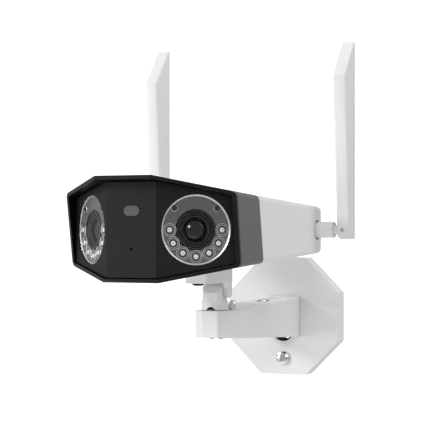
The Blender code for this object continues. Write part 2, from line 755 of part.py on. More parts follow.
# ---------------------------------------------------------------- electronics and service cover
def build_electronics():
    middle = (MAIN_BOARD_START + MAIN_BOARD_END) / 2
    half_length = (MAIN_BOARD_END - MAIN_BOARD_START) / 2
    top = MAIN_BOARD_Z + 1.6
    outline = rounded(rectangle(MAIN_BOARD_HALF_WIDTH, half_length, (0, middle)), 2.0)
    board = add("main_board", prism(outline, MAIN_BOARD_Z, top), head, board_green)
    soc_top = top + 1.8
    chips = (
        (8, 8, 0, middle, soc_top), (5, 3.5, 18, middle, top + 1.1),
        (10, 7, 14, MAIN_BOARD_END - 10, top + 2.4),
        (6, 2.6, -18, MAIN_BOARD_START + 5, top + 4.5), (6, 2.6, 18, MAIN_BOARD_START + 5, top + 4.5),
        (4, 4, -20, middle, top + 3.2), (5, 3, -18, MAIN_BOARD_END - 8, top + 1.2),
    )
    join(board, gathered([prism(rectangle(a, b, (x, y)), top - 0.5, z) for a, b, x, y, z in chips]))

    base = soc_top + GAP
    plate = prism(rectangle(SPREADER_HALF, SPREADER_HALF, (0, middle)), base, base + SPREADER_BASE)
    spreader = add("heat_spreader", plate, head, aluminium)
    pitch = 2 * (SPREADER_HALF - 1) / (FIN_COUNT - 1)
    foot = base + SPREADER_BASE
    fins = []
    for i in range(FIN_COUNT):
        outline = rectangle(0.6, SPREADER_HALF - 0.5, (1 - SPREADER_HALF + pitch * i, middle))
        fins.append(prism(outline, foot - OVERLAP, foot + FIN_HEIGHT))
    join(spreader, gathered(fins))

    lift = SPEAKER_RADIUS * math.tan(UNDERSIDE_SLOPE)
    low = underside(0, SPEAKER_Y) + SHELL_WALL + lift + GAP
    high = low + SPEAKER_HEIGHT
    magnet = SPEAKER_RADIUS * 0.6
    disc = [(SPEAKER_RADIUS, low), (SPEAKER_RADIUS, high), (magnet, high), (magnet, high + 1)]
    add("speaker", turned(disc, "Z", (0, SPEAKER_Y)), head, dark_screw)


def build_service():
    outline = rounded(rectangle(COVER_HALF_WIDTH - GAP, COVER_HALF_LENGTH - GAP), 1.8)
    cover = add("service_cover", prism(outline, 0, COVER_THICK), service, white)
    places = (SERVICE_SCREW_Y, -SERVICE_SCREW_Y)
    bore = SMALL_SCREW_RADIUS + GAP
    cut(cover, gathered([prism(circle(bore, SMALL_ROUND, (0, y)), -1, 2) for y in places]))
    for number, y in enumerate(places, 1):
        profile = [
            (SMALL_HEAD_RADIUS * 0.7, -GAP - SMALL_HEAD_HEIGHT),
            (SMALL_HEAD_RADIUS, -GAP - 0.5 * SMALL_HEAD_HEIGHT),
            (SMALL_HEAD_RADIUS, -GAP),
            (SMALL_SCREW_RADIUS, -GAP),
            (SMALL_SCREW_RADIUS, SERVICE_BOSS_HEIGHT - 1),
        ]
        add(f"service_screw_{number}", turned(profile, "Z", (0, y), SMALL_ROUND), service, steel)

    low = SERVICE_BOSS_HEIGHT + GAP
    outline = rectangle(6.5, COVER_HALF_LENGTH - 1)
    board = add("service_board", prism(outline, low, low + BOARD_THICK), service, board_green)
    switch_y = -5.0
    socket = prism(rectangle(5.2, 5.5, (0, 3.0)), low - 1.8, low + 0.5)
    switch = prism(rectangle(2.4, 2.2, (0, switch_y)), low - 1.8, low + 0.5)
    join(board, gathered([socket, switch]))
    bore_top = low - 0.2
    cut(board, prism(circle(RESET_RADIUS + GAP, SMALL_ROUND, (0, switch_y)), low - 3, bore_top))
    reset = frame("reset_axis", (0, switch_y, bore_top - RESET_TRAVEL - GAP), service)
    profile = [(RESET_RADIUS * 0.8, -2.0), (RESET_RADIUS, -1.8), (RESET_RADIUS, 0)]
    add("reset_button", turned(profile, "Z", count=SMALL_ROUND), reset, black)


# ---------------------------------------------------------------- antennas
def bmesh_moved(bm, offset):
    bmesh.ops.translate(bm, vec=offset, verts=bm.verts)
    return bm


def build_antenna(side, sign):
    swivel = frame(f"antenna_axis_{side}", (0, ANTENNA_Y, 0), head)
    fold = frame(f"fold_axis_{side}", (sign * FOLD_X, 0, 0), swivel)
    wall_inner = half_width(ANTENNA_Y + SOCKET_FLANGE_RADIUS) - SHELL_WALL * 1.02 - GAP
    flange = wall_inner - SOCKET_FLANGE_THICK
    bore = STUB_RADIUS + GAP

    def along(profile, hollow=False, count=ROUND, centre=(0.0, 0.0)):
        return turned([(r, sign * x) for r, x in profile], "X", centre, count, hollow)

    nose = wall_inner + SOCKET_NOSE
    socket = [(bore, flange), (SOCKET_FLANGE_RADIUS, flange), (SOCKET_FLANGE_RADIUS, wall_inner),
              (RECESS_RADIUS - GAP, wall_inner), (RECESS_RADIUS - GAP, nose), (bore, nose)]
    seat = bmesh_moved(along(socket, hollow=True), (0, ANTENNA_Y, 0))
    add(f"antenna_socket_{side}", seat, head, rubber)

    tail = min(STUB_INNER, flange - 2.0)
    stub_profile = [(STUB_RADIUS, tail), (STUB_RADIUS, STUB_END - 0.3), (STUB_RADIUS - 0.3, STUB_END)]
    stub = add(f"antenna_stub_{side}", along(stub_profile), swivel, white)
    start = STUB_END - OVERLAP
    tongue = [(start, TONGUE_RADIUS)]
    for i in range(9):
        turn = math.pi / 2 - math.pi * i / 8
        tongue.append((FOLD_X + TONGUE_RADIUS * math.cos(turn), TONGUE_RADIUS * math.sin(turn)))
    tongue.append((start, -TONGUE_RADIUS))
    tongue = [(sign * x, z) for x, z in tongue]
    join(stub, prism(tongue, -TONGUE_HALF_THICK, TONGUE_HALF_THICK, "Y"))
    pin_bore = circle(FOLD_PIN_RADIUS + GAP, SMALL_ROUND, (sign * FOLD_X, 0))
    cut(stub, prism(pin_bore, -STUB_RADIUS, STUB_RADIUS, "Y"))
    cut(stub, along([(2.3, tail - 1), (2.3, tail + 4)], count=SMALL_ROUND))
    clip = [
        (STUB_RADIUS + 1.4, tail - GAP - RETAINER_THICK),
        (STUB_RADIUS + 1.4, tail - GAP),
        (2.0, tail - GAP),
        (2.0, tail + 3),
    ]
    add(f"antenna_retainer_{side}", along(clip, count=SMALL_ROUND), swivel, dark_screw)

    rear = BLADE_REAR_Y - ANTENNA_Y
    outline = [
        (rear, BLADE_BOTTOM_Z), (rear, BLADE_TOP_Z), (rear - BLADE_TIP_DEPTH, BLADE_TOP_Z),
        (rear - BLADE_DEPTH_SHOULDER, BLADE_SHOULDER_Z), (rear - BLADE_DEPTH_BOTTOM, BLADE_BOTTOM_Z),
    ]
    inner, outer = BLADE_INNER_X - FOLD_X, BLADE_INNER_X + BLADE_THICK - FOLD_X
    eased = outline[:2] + [(y + BLADE_EDGE, z) for y, z in outline[2:]]
    levels = ((eased, inner), (outline, inner + BLADE_EDGE), (outline, outer))
    shape = loft([placed(ring, sign * x, "X") for ring, x in levels])
    blade = add(f"antenna_blade_{side}", shape, fold, white, bevel=0.5)
    slot_radius = TONGUE_RADIUS + GAP
    deep = BLADE_BOTTOM_Z - 1
    slot = [(inner - 1, slot_radius)]
    for i in range(7):
        turn = math.pi / 2 * i / 6
        slot.append((slot_radius * math.sin(turn), slot_radius * math.cos(turn)))
    slot += [(slot_radius, deep), (inner - 1, deep)]
    half_slot = TONGUE_HALF_THICK + GAP
    cut(blade, prism([(sign * x, z) for x, z in slot], -half_slot, half_slot, "Y"))
    corner = [(inner - 1, BLADE_BOTTOM_Z - 1), (inner + BLADE_CHAMFER, BLADE_BOTTOM_Z - 1),
              (inner + BLADE_CHAMFER, BLADE_BOTTOM_Z), (inner, BLADE_BOTTOM_Z + BLADE_CHAMFER),
              (inner - 1, BLADE_BOTTOM_Z + BLADE_CHAMFER)]
    cut(blade, prism([(sign * x, z) for x, z in corner], rear - 30, rear + 2, "Y"))
    front = rear - BLADE_DEPTH_BOTTOM
    cut(blade, prism(circle(FOLD_PIN_RADIUS + GAP, SMALL_ROUND), front - 3, half_slot + 3.5, "Y"))
    pin = turned([(FOLD_PIN_RADIUS, front + 0.1), (FOLD_PIN_RADIUS, half_slot + 3.0)], "Y", count=SMALL_ROUND)
    add(f"antenna_pin_{side}", pin, fold, steel)


# ---------------------------------------------------------------- yoke, post and bracket
def build_yoke():
    half, chamfer = YOKE_HALF_WIDTH, YOKE_CHAMFER
    plan = [
        (-half, YOKE_REAR - chamfer), (-half, YOKE_FRONT + chamfer), (-half + chamfer, YOKE_FRONT),
        (half - chamfer, YOKE_FRONT), (half, YOKE_FRONT + chamfer), (half, YOKE_REAR - chamfer),
        (half - chamfer, YOKE_REAR), (-half + chamfer, YOKE_REAR),
    ]
    low = [Vector((x, y, YOKE_BOTTOM)) for x, y in plan]
    high = [Vector((x, y, underside(0, y) - GAP)) for x, y in plan]
    yoke = add("tilt_yoke", loft([low, high]), head, bracket_white, bevel=0.4)
    tip = PIVOT_Z - EAR_DROP
    rise = YOKE_BOTTOM - tip
    ear = []
    for i in range(1, 7):
        turn = math.pi / 2 * i / 6
        ear.append((PIVOT_Y - EAR_RADIUS - EAR_GUSSET * (1 - math.sin(turn)), tip + rise * math.cos(turn)))
    for i in range(1, 9):
        turn = math.pi + math.pi * i / 8
        ear.append((PIVOT_Y + EAR_RADIUS * math.cos(turn), tip + EAR_RADIUS * math.sin(turn)))
    ear += [(PIVOT_Y + EAR_RADIUS, YOKE_BOTTOM + 2.0), (PIVOT_Y - EAR_RADIUS - EAR_GUSSET, YOKE_BOTTOM + 2.0)]
    join(yoke, prism(ear, EAR_INNER_X, YOKE_HALF_WIDTH - EAR_INSET, "X"))
    pivot = (PIVOT_Y, PIVOT_Z)
    nut_room = circle(TILT_NUT_RADIUS + GAP, 6, pivot)
    cut(yoke, prism(nut_room, EAR_INNER_X - 1, EAR_INNER_X + TILT_NUT_HEIGHT + 2 * GAP, "X"))
    top = underside(0, YOKE_REAR) + 2
    holes = [prism(circle(GLAND_RADIUS + GAP, SMALL_ROUND, GLAND_PLACE), YOKE_BOTTOM - 1, top)]
    for x, y in YOKE_SCREWS:
        holes.append(prism(circle(YOKE_SCREW_RADIUS + GAP, SMALL_ROUND, (x, y)), YOKE_BOTTOM + 2, top))
    cut(yoke, gathered(holes))

    for number, (x, y) in enumerate(YOKE_SCREWS, 1):
        slant = 2 * YOKE_SCREW_HEAD * math.tan(UNDERSIDE_SLOPE)
        seat = underside(x, y - YOKE_SCREW_HEAD) + SHELL_WALL + GAP + slant
        profile = [(YOKE_SCREW_RADIUS, YOKE_BOTTOM + 2.6), (YOKE_SCREW_RADIUS, seat), (YOKE_SCREW_HEAD, seat),
                   (YOKE_SCREW_HEAD, seat + 1.0), (YOKE_SCREW_HEAD * 0.7, seat + 1.6)]
        add(f"yoke_screw_{number}", turned(profile, "Z", (x, y), SMALL_ROUND), head, steel)

    top = underside(*GLAND_PLACE) + SHELL_WALL + 2
    bottom = YOKE_BOTTOM - GLAND_DROP
    profile = [(GLAND_BORE, bottom), (GLAND_RADIUS * 0.6, bottom), (GLAND_RADIUS * 0.9, bottom + 0.6),
               (GLAND_RADIUS, YOKE_BOTTOM), (GLAND_RADIUS, top), (GLAND_BORE, top)]
    add("cable_gland", turned(profile, "Z", GLAND_PLACE, SMALL_ROUND, hollow=True), head, rubber)

    low_x, high_x = EAR_INNER_X + GAP, EAR_INNER_X + GAP + TILT_NUT_HEIGHT
    bore_radius = (TILT_BOLT_RADIUS + GAP) / math.cos(math.pi / 6)
    bore = placed(circle(bore_radius, 6, pivot), low_x, "X")
    rings = [placed(circle(TILT_NUT_RADIUS, 6, pivot), x, "X") for x in (low_x, high_x)]
    rings += [[Vector((x, p.y, p.z)) for p in bore] for x in (high_x, low_x)]
    add("tilt_nut", loft(rings, ring_shaped=True), head, steel)


def post_block_ring(level):
    """Outline of the post's upper block, with a point on each of the round part's spokes."""
    left, right, front, back, chamfer = POST_LEFT, POST_RIGHT, POST_FRONT, POST_BACK, POST_CHAMFER
    corners = [
        (right, front), (right, back - 1.5), (right - 1.5, back), (left + 1.5, back), (left, back - 1.5),
        (left, front + chamfer), (left + chamfer, front),
    ]
    edges = [(Vector(a), Vector(b)) for a, b in zip(corners, corners[1:] + corners[:1])]
    ring = []
    for i in range(ROUND):
        spoke = Vector((math.cos(2 * math.pi * i / ROUND), math.sin(2 * math.pi * i / ROUND)))
        for a, b in edges:
            across = spoke.cross(b - a)
            along = a.cross(spoke) / across if across else -1.0
            reach = a.cross(b - a) / across if across else -1.0
            if -1e-6 <= along <= 1 and reach > 0:
                ring.append(Vector((spoke.x * reach, spoke.y * reach, level)))
                break
    return ring


def build_post():
    top = PIVOT_LIFT + POST_TOP_RADIUS
    rings = [placed(circle(radius), level, "Z") for radius, level in (
        (SPIGOT_RADIUS, -PAN_SHELF), (SPIGOT_RADIUS, GAP), (POST_RADIUS, GAP), (POST_RADIUS, POST_SHOULDER))]
    rings += [post_block_ring(POST_SHOULDER + POST_BLEND), post_block_ring(top + 1)]
    post = add("swivel_post", loft(rings), pan_axis, bracket_white)
    nod = math.radians(TILT_DOWN)
    reach = 2 * POST_RADIUS
    side_view = [(reach, -2 * PAN_SHELF), (reach, PIVOT_LIFT)]
    for i in range(9):
        turn = math.radians(20) + (math.pi / 2 + nod - math.radians(20)) * i / 8
        ahead, up = POST_TOP_RADIUS * math.cos(turn), POST_TOP_RADIUS * math.sin(turn)
        side_view.append((PIVOT_SETBACK + ahead, PIVOT_LIFT + up))
    end_y, end_z = side_view[-1]
    side_view += [(-reach, end_z - (end_y + reach) * math.tan(nod)), (-reach, -2 * PAN_SHELF)]
    combine(post, "INTERSECT", prism(side_view, -2 * POST_RADIUS, 2 * POST_RADIUS, "X"))
    pivot = (PIVOT_SETBACK, PIVOT_LIFT)
    shank_room = circle(TILT_BOLT_RADIUS + GAP, SMALL_ROUND, pivot, 0.1)
    cut(post, prism(shank_room, POST_LEFT - 2, POST_RIGHT + 2, "X"))
    seat = POST_LEFT + TILT_HEAD_HEIGHT + 2 * GAP
    cut(post, prism(circle(TILT_HEAD_RADIUS + GAP, SMALL_ROUND, pivot, 0.1), POST_LEFT - 2, seat, "X"))
    notch = circle(CABLE_NOTCH_RADIUS, SMALL_ROUND, CABLE_NOTCH_CENTRE, 0.1)
    cut(post, prism(notch, -POST_RADIUS - 1, -POST_RADIUS + CABLE_NOTCH_DEPTH, "Y"))
    plug = circle(CABLE_NOTCH_RADIUS - GAP, SMALL_ROUND, CABLE_NOTCH_CENTRE, 0.1)
    plug = [(x, z) for x, z in plug if z > GAP]
    face = -POST_RADIUS + CABLE_NOTCH_DEPTH - GAP
    add("cable_plug", prism(plug, face - CABLE_PLUG_THICK, face, "Y"), pan_axis, rubber)
    x, y = PAN_SCREW_PLACE
    bore = PAN_SCREW_RADIUS + GAP
    deep = -PAN_SHELF + PAN_SCREW_BITE
    cut(post, gathered([prism(circle(bore, 12, (s * x, y)), -PAN_SHELF - 1, deep + 1) for s in (1, -1)]))

    tip = EAR_INNER_X + TILT_NUT_HEIGHT
    under = seat - GAP
    profile = [
        (TILT_HEAD_RADIUS * 0.8, under - TILT_HEAD_HEIGHT),
        (TILT_HEAD_RADIUS, under - 0.7 * TILT_HEAD_HEIGHT),
        (TILT_HEAD_RADIUS, under),
        (TILT_BOLT_RADIUS, under),
        (TILT_BOLT_RADIUS, tip),
    ]
    add("tilt_bolt", turned(profile, "X", count=SMALL_ROUND), tilt_axis, chrome)

    high = -PAN_SHELF - GAP
    plate = add("pan_plate", prism(circle(PAN_PLATE_RADIUS), high - PAN_PLATE_THICK, high), pan_axis, steel)
    low = high - PAN_PLATE_THICK
    cut(plate, gathered([prism(circle(bore, 12, (s * x, y)), low - 1, high + 1) for s in (1, -1)]))
    seat = low - GAP
    for number, s in enumerate((1, -1), 1):
        profile = [
            (SMALL_HEAD_RADIUS * 0.7, seat - 1.3),
            (SMALL_HEAD_RADIUS, seat - 0.9),
            (SMALL_HEAD_RADIUS, seat),
            (PAN_SCREW_RADIUS, seat),
            (PAN_SCREW_RADIUS, deep),
        ]
        add(f"pan_screw_{number}", turned(profile, "Z", (s * x, y), 12), pan_axis, dark_screw)


def upright_box_ring(y, half, low, high):
    return [Vector((x, y, z)) for x, z in ((-half, low), (half, low), (half, high), (-half, high))]


def arm_screw_x():
    return (CHANNEL_HALF_WIDTH + ARM_HALF_WIDTH) / 2


def build_arm():
    flat_end = ARM_END_Y + ARM_FLAT_LENGTH

    def section(y, half):
        share = (y - ARM_END_Y) / (ARM_ROOT_Y - ARM_END_Y)
        low = ARM_END_BOTTOM_Z + (ARM_ROOT_BOTTOM_Z - ARM_END_BOTTOM_Z) * share
        return upright_box_ring(y, half, low, arm_top(y))

    rings = [section(ARM_END_Y, ARM_END_HALF), section(ARM_END_Y + ARM_CHAMFER, ARM_HALF_WIDTH),
             section(flat_end, ARM_HALF_WIDTH), section(ARM_ROOT_Y, ARM_HALF_WIDTH)]
    arm = add("bracket_arm", loft(rings), wall, bracket_white, bevel=ARM_EDGE)
    start = -POST_REACH + CHANNEL_START
    half = CHANNEL_HALF_WIDTH
    low = ARM_ROOT_BOTTOM_Z - 5
    channel = []
    for y in (start, ARM_ROOT_Y + 1):
        channel.append(upright_box_ring(y, half, low, arm_top(y) - CHANNEL_ROOF))
    cut(arm, loft(channel))
    pivot = (0, -POST_REACH)
    shelf = ARM_TOP_Z - PAN_SHELF
    cut(arm, prism(circle(SPIGOT_RADIUS + GAP, ROUND, pivot), shelf - 1, ARM_TOP_Z + 1))
    cut(arm, prism(circle(PAN_PLATE_RADIUS + GAP, ROUND, pivot), low, shelf))
    slot = [(y, x) for x, y in stadium(POCKET_HALF_LENGTH, POCKET_HALF_WIDTH)]
    cut(arm, prism(slot, -POCKET_DEPTH, 2), pocket)
    bearing, away = math.radians(ACORN_BEARING), POST_RADIUS + ACORN_CLEARANCE + ACORN_RADIUS
    acorn = (away * math.cos(bearing), -POST_REACH + away * math.sin(bearing))
    screw_y = -POCKET_SCREW_FORWARD
    cut(arm, prism(circle(ACORN_SHANK + GAP, SMALL_ROUND, acorn), ARM_TOP_Z - 5, ARM_ROOT_TOP_Z))
    bore = circle(POCKET_SCREW_SHANK + GAP, SMALL_ROUND, (0, screw_y))
    cut(arm, prism(bore, -2 * CHANNEL_ROOF, 1), pocket)
    deep = ARM_ROOT_Y - ARM_SCREW_BITE
    bores = [circle(ARM_SCREW_RADIUS + GAP, 12, (s * arm_screw_x(), 0)) for s in (1, -1)]
    cut(arm, gathered([prism(bore, deep - 1, ARM_ROOT_Y + 1, "Y") for bore in bores]))

    top = arm_top(acorn[1]) + GAP
    profile = [
        (ACORN_SHANK, top - 4.0),
        (ACORN_SHANK, top),
        (ACORN_RADIUS, top),
        (ACORN_RADIUS, top + 0.45 * ACORN_HEIGHT),
    ]
    for i in range(1, 5):
        turn = math.pi / 2 * i / 5
        profile.append((ACORN_RADIUS * math.cos(turn), top + ACORN_HEIGHT * (0.45 + 0.55 * math.sin(turn))))
    add("acorn_nut", turned(profile, "Z", acorn, SMALL_ROUND), wall, chrome)
    low = -POCKET_DEPTH + GAP
    profile = [
        (POCKET_SCREW_SHANK, low - 3.2),
        (POCKET_SCREW_SHANK, low),
        (POCKET_SCREW_HEAD, low),
        (POCKET_SCREW_HEAD, low + 0.7),
        (POCKET_SCREW_HEAD * 0.75, low + 1.5),
    ]
    add("pocket_screw", turned(profile, "Z", (0, screw_y), SMALL_ROUND), pocket, steel)


def build_wall_parts():
    front = -COVER_DEPTH
    inner = front + COVER_WALL
    hollow = inset_outline(PLATE_OUTLINE, COVER_WALL)
    rings = [placed(PLATE_OUTLINE, 0, "Y"), placed(PLATE_OUTLINE, front, "Y")]
    cover = add("base_cover", loft(rings), wall, bracket_white, bevel=0.4)
    cut(cover, prism(hollow, inner, 1, "Y"))
    hole = (0, CABLE_HOLE_Z)
    collar_end = -WALL_PLATE_THICK - GAP
    join(cover, prism(circle(CABLE_HOLE_RADIUS + COLLAR_WALL, ROUND, hole), inner - OVERLAP, collar_end, "Y"))
    cut(cover, prism(circle(CABLE_HOLE_RADIUS, ROUND, hole), front - 1, 1, "Y"))
    outer = CABLE_HOLE_RADIUS - GAP
    bore = outer - GROMMET_WALL
    grommet = [(outer, front + 0.5), (outer, -GAP), (bore, -GAP), (bore, front + 0.5)]
    add("cable_grommet", turned(grommet, "Y", hole, hollow=True), wall, rubber)
    lock = (0, LOCK_SCREW_Z)
    holes = [prism(circle(LOCK_SHANK_RADIUS + GAP, SMALL_ROUND, lock), front - 1, inner + 1, "Y")]
    for s in (1, -1):
        bore = circle(ARM_SCREW_RADIUS + GAP, 12, (s * arm_screw_x(), 0))
        holes.append(prism(bore, front - 1, inner + 1, "Y"))
    cut(cover, gathered(holes))

    outline = inset_outline(PLATE_OUTLINE, COVER_WALL + GAP)
    plate = add("wall_plate", prism(outline, -WALL_PLATE_THICK, 0, "Y"), wall, steel)
    join(plate, prism(circle(LOCK_BOSS_RADIUS, ROUND, lock), inner + GAP, -WALL_PLATE_THICK + OVERLAP, "Y"))
    bores = [prism(circle(CABLE_HOLE_RADIUS, ROUND, hole), -WALL_PLATE_THICK - 1, 1, "Y"),
             prism(circle(LOCK_SHANK_RADIUS + GAP, SMALL_ROUND, lock), inner - 1, 1, "Y")]
    across, up = WALL_HOLE_SPREAD
    for x in (across, -across):
        for z in (up, -up):
            bores.append(prism(circle(WALL_HOLE_RADIUS, SMALL_ROUND, (x, z)), -WALL_PLATE_THICK - 1, 1, "Y"))
    cut(plate, gathered(bores))

    seat = front - GAP
    head_top = seat - LOCK_HEAD_HEIGHT
    profile = [
        (LOCK_HEAD_RADIUS * 0.5, head_top),
        (LOCK_HEAD_RADIUS * 0.85, head_top + 0.25 * LOCK_HEAD_HEIGHT),
        (LOCK_HEAD_RADIUS, head_top + 0.65 * LOCK_HEAD_HEIGHT),
        (LOCK_HEAD_RADIUS, seat),
        (LOCK_SHANK_RADIUS, seat),
        (LOCK_SHANK_RADIUS, -1.2),
    ]
    screw = add("lock_screw", turned(profile, "Y", lock), wall, chrome)
    recess = [rectangle(0.5, 2.2, lock), rectangle(2.2, 0.5, lock)]
    for arm in recess:
        cut(screw, prism(arm, head_top - 1, head_top + 1.4, "Y"))

    seat = inner + GAP
    for side, s in SIDES:
        profile = [
            (ARM_SCREW_RADIUS, ARM_ROOT_Y - ARM_SCREW_BITE),
            (ARM_SCREW_RADIUS, seat),
            (ARM_SCREW_HEAD, seat),
            (ARM_SCREW_HEAD, seat + 1.1),
            (ARM_SCREW_HEAD * 0.7, seat + 1.6),
        ]
        add(f"arm_screw_{side}", turned(profile, "Y", (s * arm_screw_x(), 0), 12), wall, steel)


# ---------------------------------------------------------------- assembly
service = frame("service_frame", (0, SERVICE_Y, underside(0, SERVICE_Y)), head, (UNDERSIDE_SLOPE, 0, 0))
pocket_slope = math.atan((ARM_ROOT_TOP_Z - ARM_TOP_Z) / (ARM_ROOT_Y - ARM_END_Y - ARM_FLAT_LENGTH))
pocket = frame("pocket_frame", (0, -POCKET_FROM_WALL, arm_top(-POCKET_FROM_WALL)), wall, (pocket_slope, 0, 0))

build_hood()
front_panel = build_panel()
build_status_parts()
build_shell()
for side_name, side_sign in SIDES:
    build_optics(side_name, side_sign, front_panel)
    build_antenna(side_name, side_sign)
build_electronics()
build_service()
build_yoke()
build_post()
build_arm()
build_wall_parts()
bpy.context.view_layer.update()
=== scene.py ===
"""Looks of the dual-lens security camera: materials, finer pieces, studio and camera."""

import json
import math

import bmesh
import bpy
from mathutils import Matrix, Vector


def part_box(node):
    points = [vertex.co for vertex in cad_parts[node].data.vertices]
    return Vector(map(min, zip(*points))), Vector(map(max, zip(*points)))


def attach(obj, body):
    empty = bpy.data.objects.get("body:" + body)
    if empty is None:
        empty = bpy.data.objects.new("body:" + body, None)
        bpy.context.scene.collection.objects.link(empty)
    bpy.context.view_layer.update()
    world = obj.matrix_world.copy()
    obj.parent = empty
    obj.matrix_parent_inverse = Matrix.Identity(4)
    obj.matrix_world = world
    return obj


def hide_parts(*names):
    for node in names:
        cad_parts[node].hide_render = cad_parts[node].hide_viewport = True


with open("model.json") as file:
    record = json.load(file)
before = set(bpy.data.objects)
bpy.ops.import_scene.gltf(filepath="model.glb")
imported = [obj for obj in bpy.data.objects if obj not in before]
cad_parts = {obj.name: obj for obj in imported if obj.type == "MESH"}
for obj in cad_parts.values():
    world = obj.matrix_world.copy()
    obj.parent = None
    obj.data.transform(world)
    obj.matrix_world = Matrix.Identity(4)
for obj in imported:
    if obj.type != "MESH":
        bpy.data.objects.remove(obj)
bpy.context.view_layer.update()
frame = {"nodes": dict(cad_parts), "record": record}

MM = 0.001
SIDES = (("right", 1), ("left", -1))
FACET_SPLAY = math.radians(38)
WINDOW_MIDDLE_DEPTH = 0.55 * MM  # of the window's middle behind the facet's face
WINDOW_RADIUS = 18.6
LAMP_CIRCLE = 14.1
LAMP_COUNT = 7
EYE_SCREW_CIRCLE = 16.2
EYE_SCREW_TURNS = (math.radians(45), math.radians(135))
SHARP_ANGLE = math.radians(30)
ROUNDING_SEGMENTS = 3
FINE = 96  # segments of a large turned piece
MEDIUM = 40  # segments of a small one


# ---------------------------------------------------------------- node helpers
class Graph:
    """Short way to place and link the nodes of one tree."""

    def __init__(self, tree):
        self.tree = tree

    def node(self, kind, settings=None, **inputs):
        made = self.tree.nodes.new(kind)
        for key, value in (settings or {}).items():
            setattr(made, key, value)
        for key, value in inputs.items():
            self.feed(made, key.replace("_", " "), value)
        return made

    def feed(self, made, key, value):
        """Links or sets an input, given by its name or, as in i0, by its number."""
        numbered = key[0] == "i" and key[1:].isdigit()
        socket = made.inputs[int(key[1:]) if numbered else key]
        if isinstance(value, bpy.types.NodeSocket):
            self.tree.links.new(value, socket)
        else:
            socket.default_value = value

    def math(self, operation, a, b, clamp=False):
        made = self.node("ShaderNodeMath", {"operation": operation, "use_clamp": clamp}, i0=a, i1=b)
        return made.outputs[0]

    def mix(self, factor, a, b):
        made = self.node("ShaderNodeMix", {"data_type": "RGBA"})
        self.feed(made, "Factor", factor)
        self.feed(made, "i6", a)
        self.feed(made, "i7", b)
        return made.outputs[2]

    def spread(self, value, low, high, start=0.0, end=1.0):
        made = self.node("ShaderNodeMapRange", None, Value=value, From_Min=start, From_Max=end,
                         To_Min=low, To_Max=high)
        return made.outputs["Result"]

    def noise(self, scale, detail, roughness, place):
        made = self.node("ShaderNodeTexNoise", None, Scale=scale, Detail=detail,
                         Roughness=roughness, Vector=place)
        return made.outputs["Fac"]

    def place(self):
        return self.node("ShaderNodeTexCoord").outputs["Object"]


def group(name, inputs, outputs):
    """Empty shader group with named sockets; returns its tree and its two end nodes."""
    tree = bpy.data.node_groups.new(name, "ShaderNodeTree")
    for label, kind, value in inputs:
        socket = tree.interface.new_socket(label, in_out="INPUT", socket_type=kind)
        socket.default_value = value
    for label, kind in outputs:
        tree.interface.new_socket(label, in_out="OUTPUT", socket_type=kind)
    graph = Graph(tree)
    start = graph.node("NodeGroupInput")
    end = graph.node("NodeGroupOutput")
    return tree, graph, start.outputs, end


NUMBER, COLOUR = "NodeSocketFloat", "NodeSocketColor"
WHITE = (1.0, 1.0, 1.0, 1.0)


def moulding_group():
    """Moulded plastic or paint: slight mottling, fine grain and handling marks."""
    tree, g, given, end = group(
        "moulded surface",
        [("Colour", COLOUR, WHITE), ("Mottle", NUMBER, 0.03), ("Grain Scale", NUMBER, 2600.0),
         ("Roughness", NUMBER, 0.4), ("Marks", NUMBER, 0.08)],
        [("Colour", COLOUR), ("Roughness", NUMBER), ("Grain", NUMBER)],
    )
    place = g.place()
    cloud = g.noise(38.0, 4.0, 0.55, place)
    lift = g.math("MULTIPLY", g.math("SUBTRACT", cloud, 0.5), given["Mottle"])
    tone = g.math("ADD", g.math("MULTIPLY", lift, 2.0), 1.0)
    shade = g.node("ShaderNodeVectorMath", {"operation": "SCALE"}, i0=given["Colour"], Scale=tone)
    g.feed(end, "Colour", shade.outputs[0])
    stretched = g.node("ShaderNodeMapping", None, Vector=place, Scale=(1.0, 0.35, 3.0)).outputs[0]
    smear = g.noise(90.0, 5.0, 0.6, stretched)
    wear = g.math("MULTIPLY", g.math("SUBTRACT", smear, 0.5), given["Marks"])
    g.feed(end, "Roughness", g.math("ADD", given["Roughness"], wear, clamp=True))
    g.feed(end, "Grain", g.noise(given["Grain Scale"], 2.0, 0.5, place))
    return tree


def dust_group():
    """Fine dust on what faces up, thinner where it has been touched."""
    tree, g, given, end = group(
        "settled dust",
        [("Colour", COLOUR, WHITE), ("Roughness", NUMBER, 0.4), ("Amount", NUMBER, 0.1),
         ("Dust Colour", COLOUR, (0.46, 0.44, 0.41, 1.0))],
        [("Colour", COLOUR), ("Roughness", NUMBER)],
    )
    normal = g.node("ShaderNodeNewGeometry").outputs["Normal"]
    up = g.node("ShaderNodeSeparateXYZ", None, Vector=normal).outputs["Z"]
    lying = g.spread(up, 0.0, 1.0, 0.25, 0.95)
    patches = g.spread(g.noise(60.0, 6.0, 0.65, g.place()), 0.2, 1.0, 0.35, 0.7)
    mask = g.math("MULTIPLY", g.math("MULTIPLY", lying, patches), given["Amount"], clamp=True)
    g.feed(end, "Colour", g.mix(mask, given["Colour"], given["Dust Colour"]))
    dulled = g.math("MULTIPLY", mask, 0.5)
    g.feed(end, "Roughness", g.math("ADD", given["Roughness"], dulled, clamp=True))
    return tree


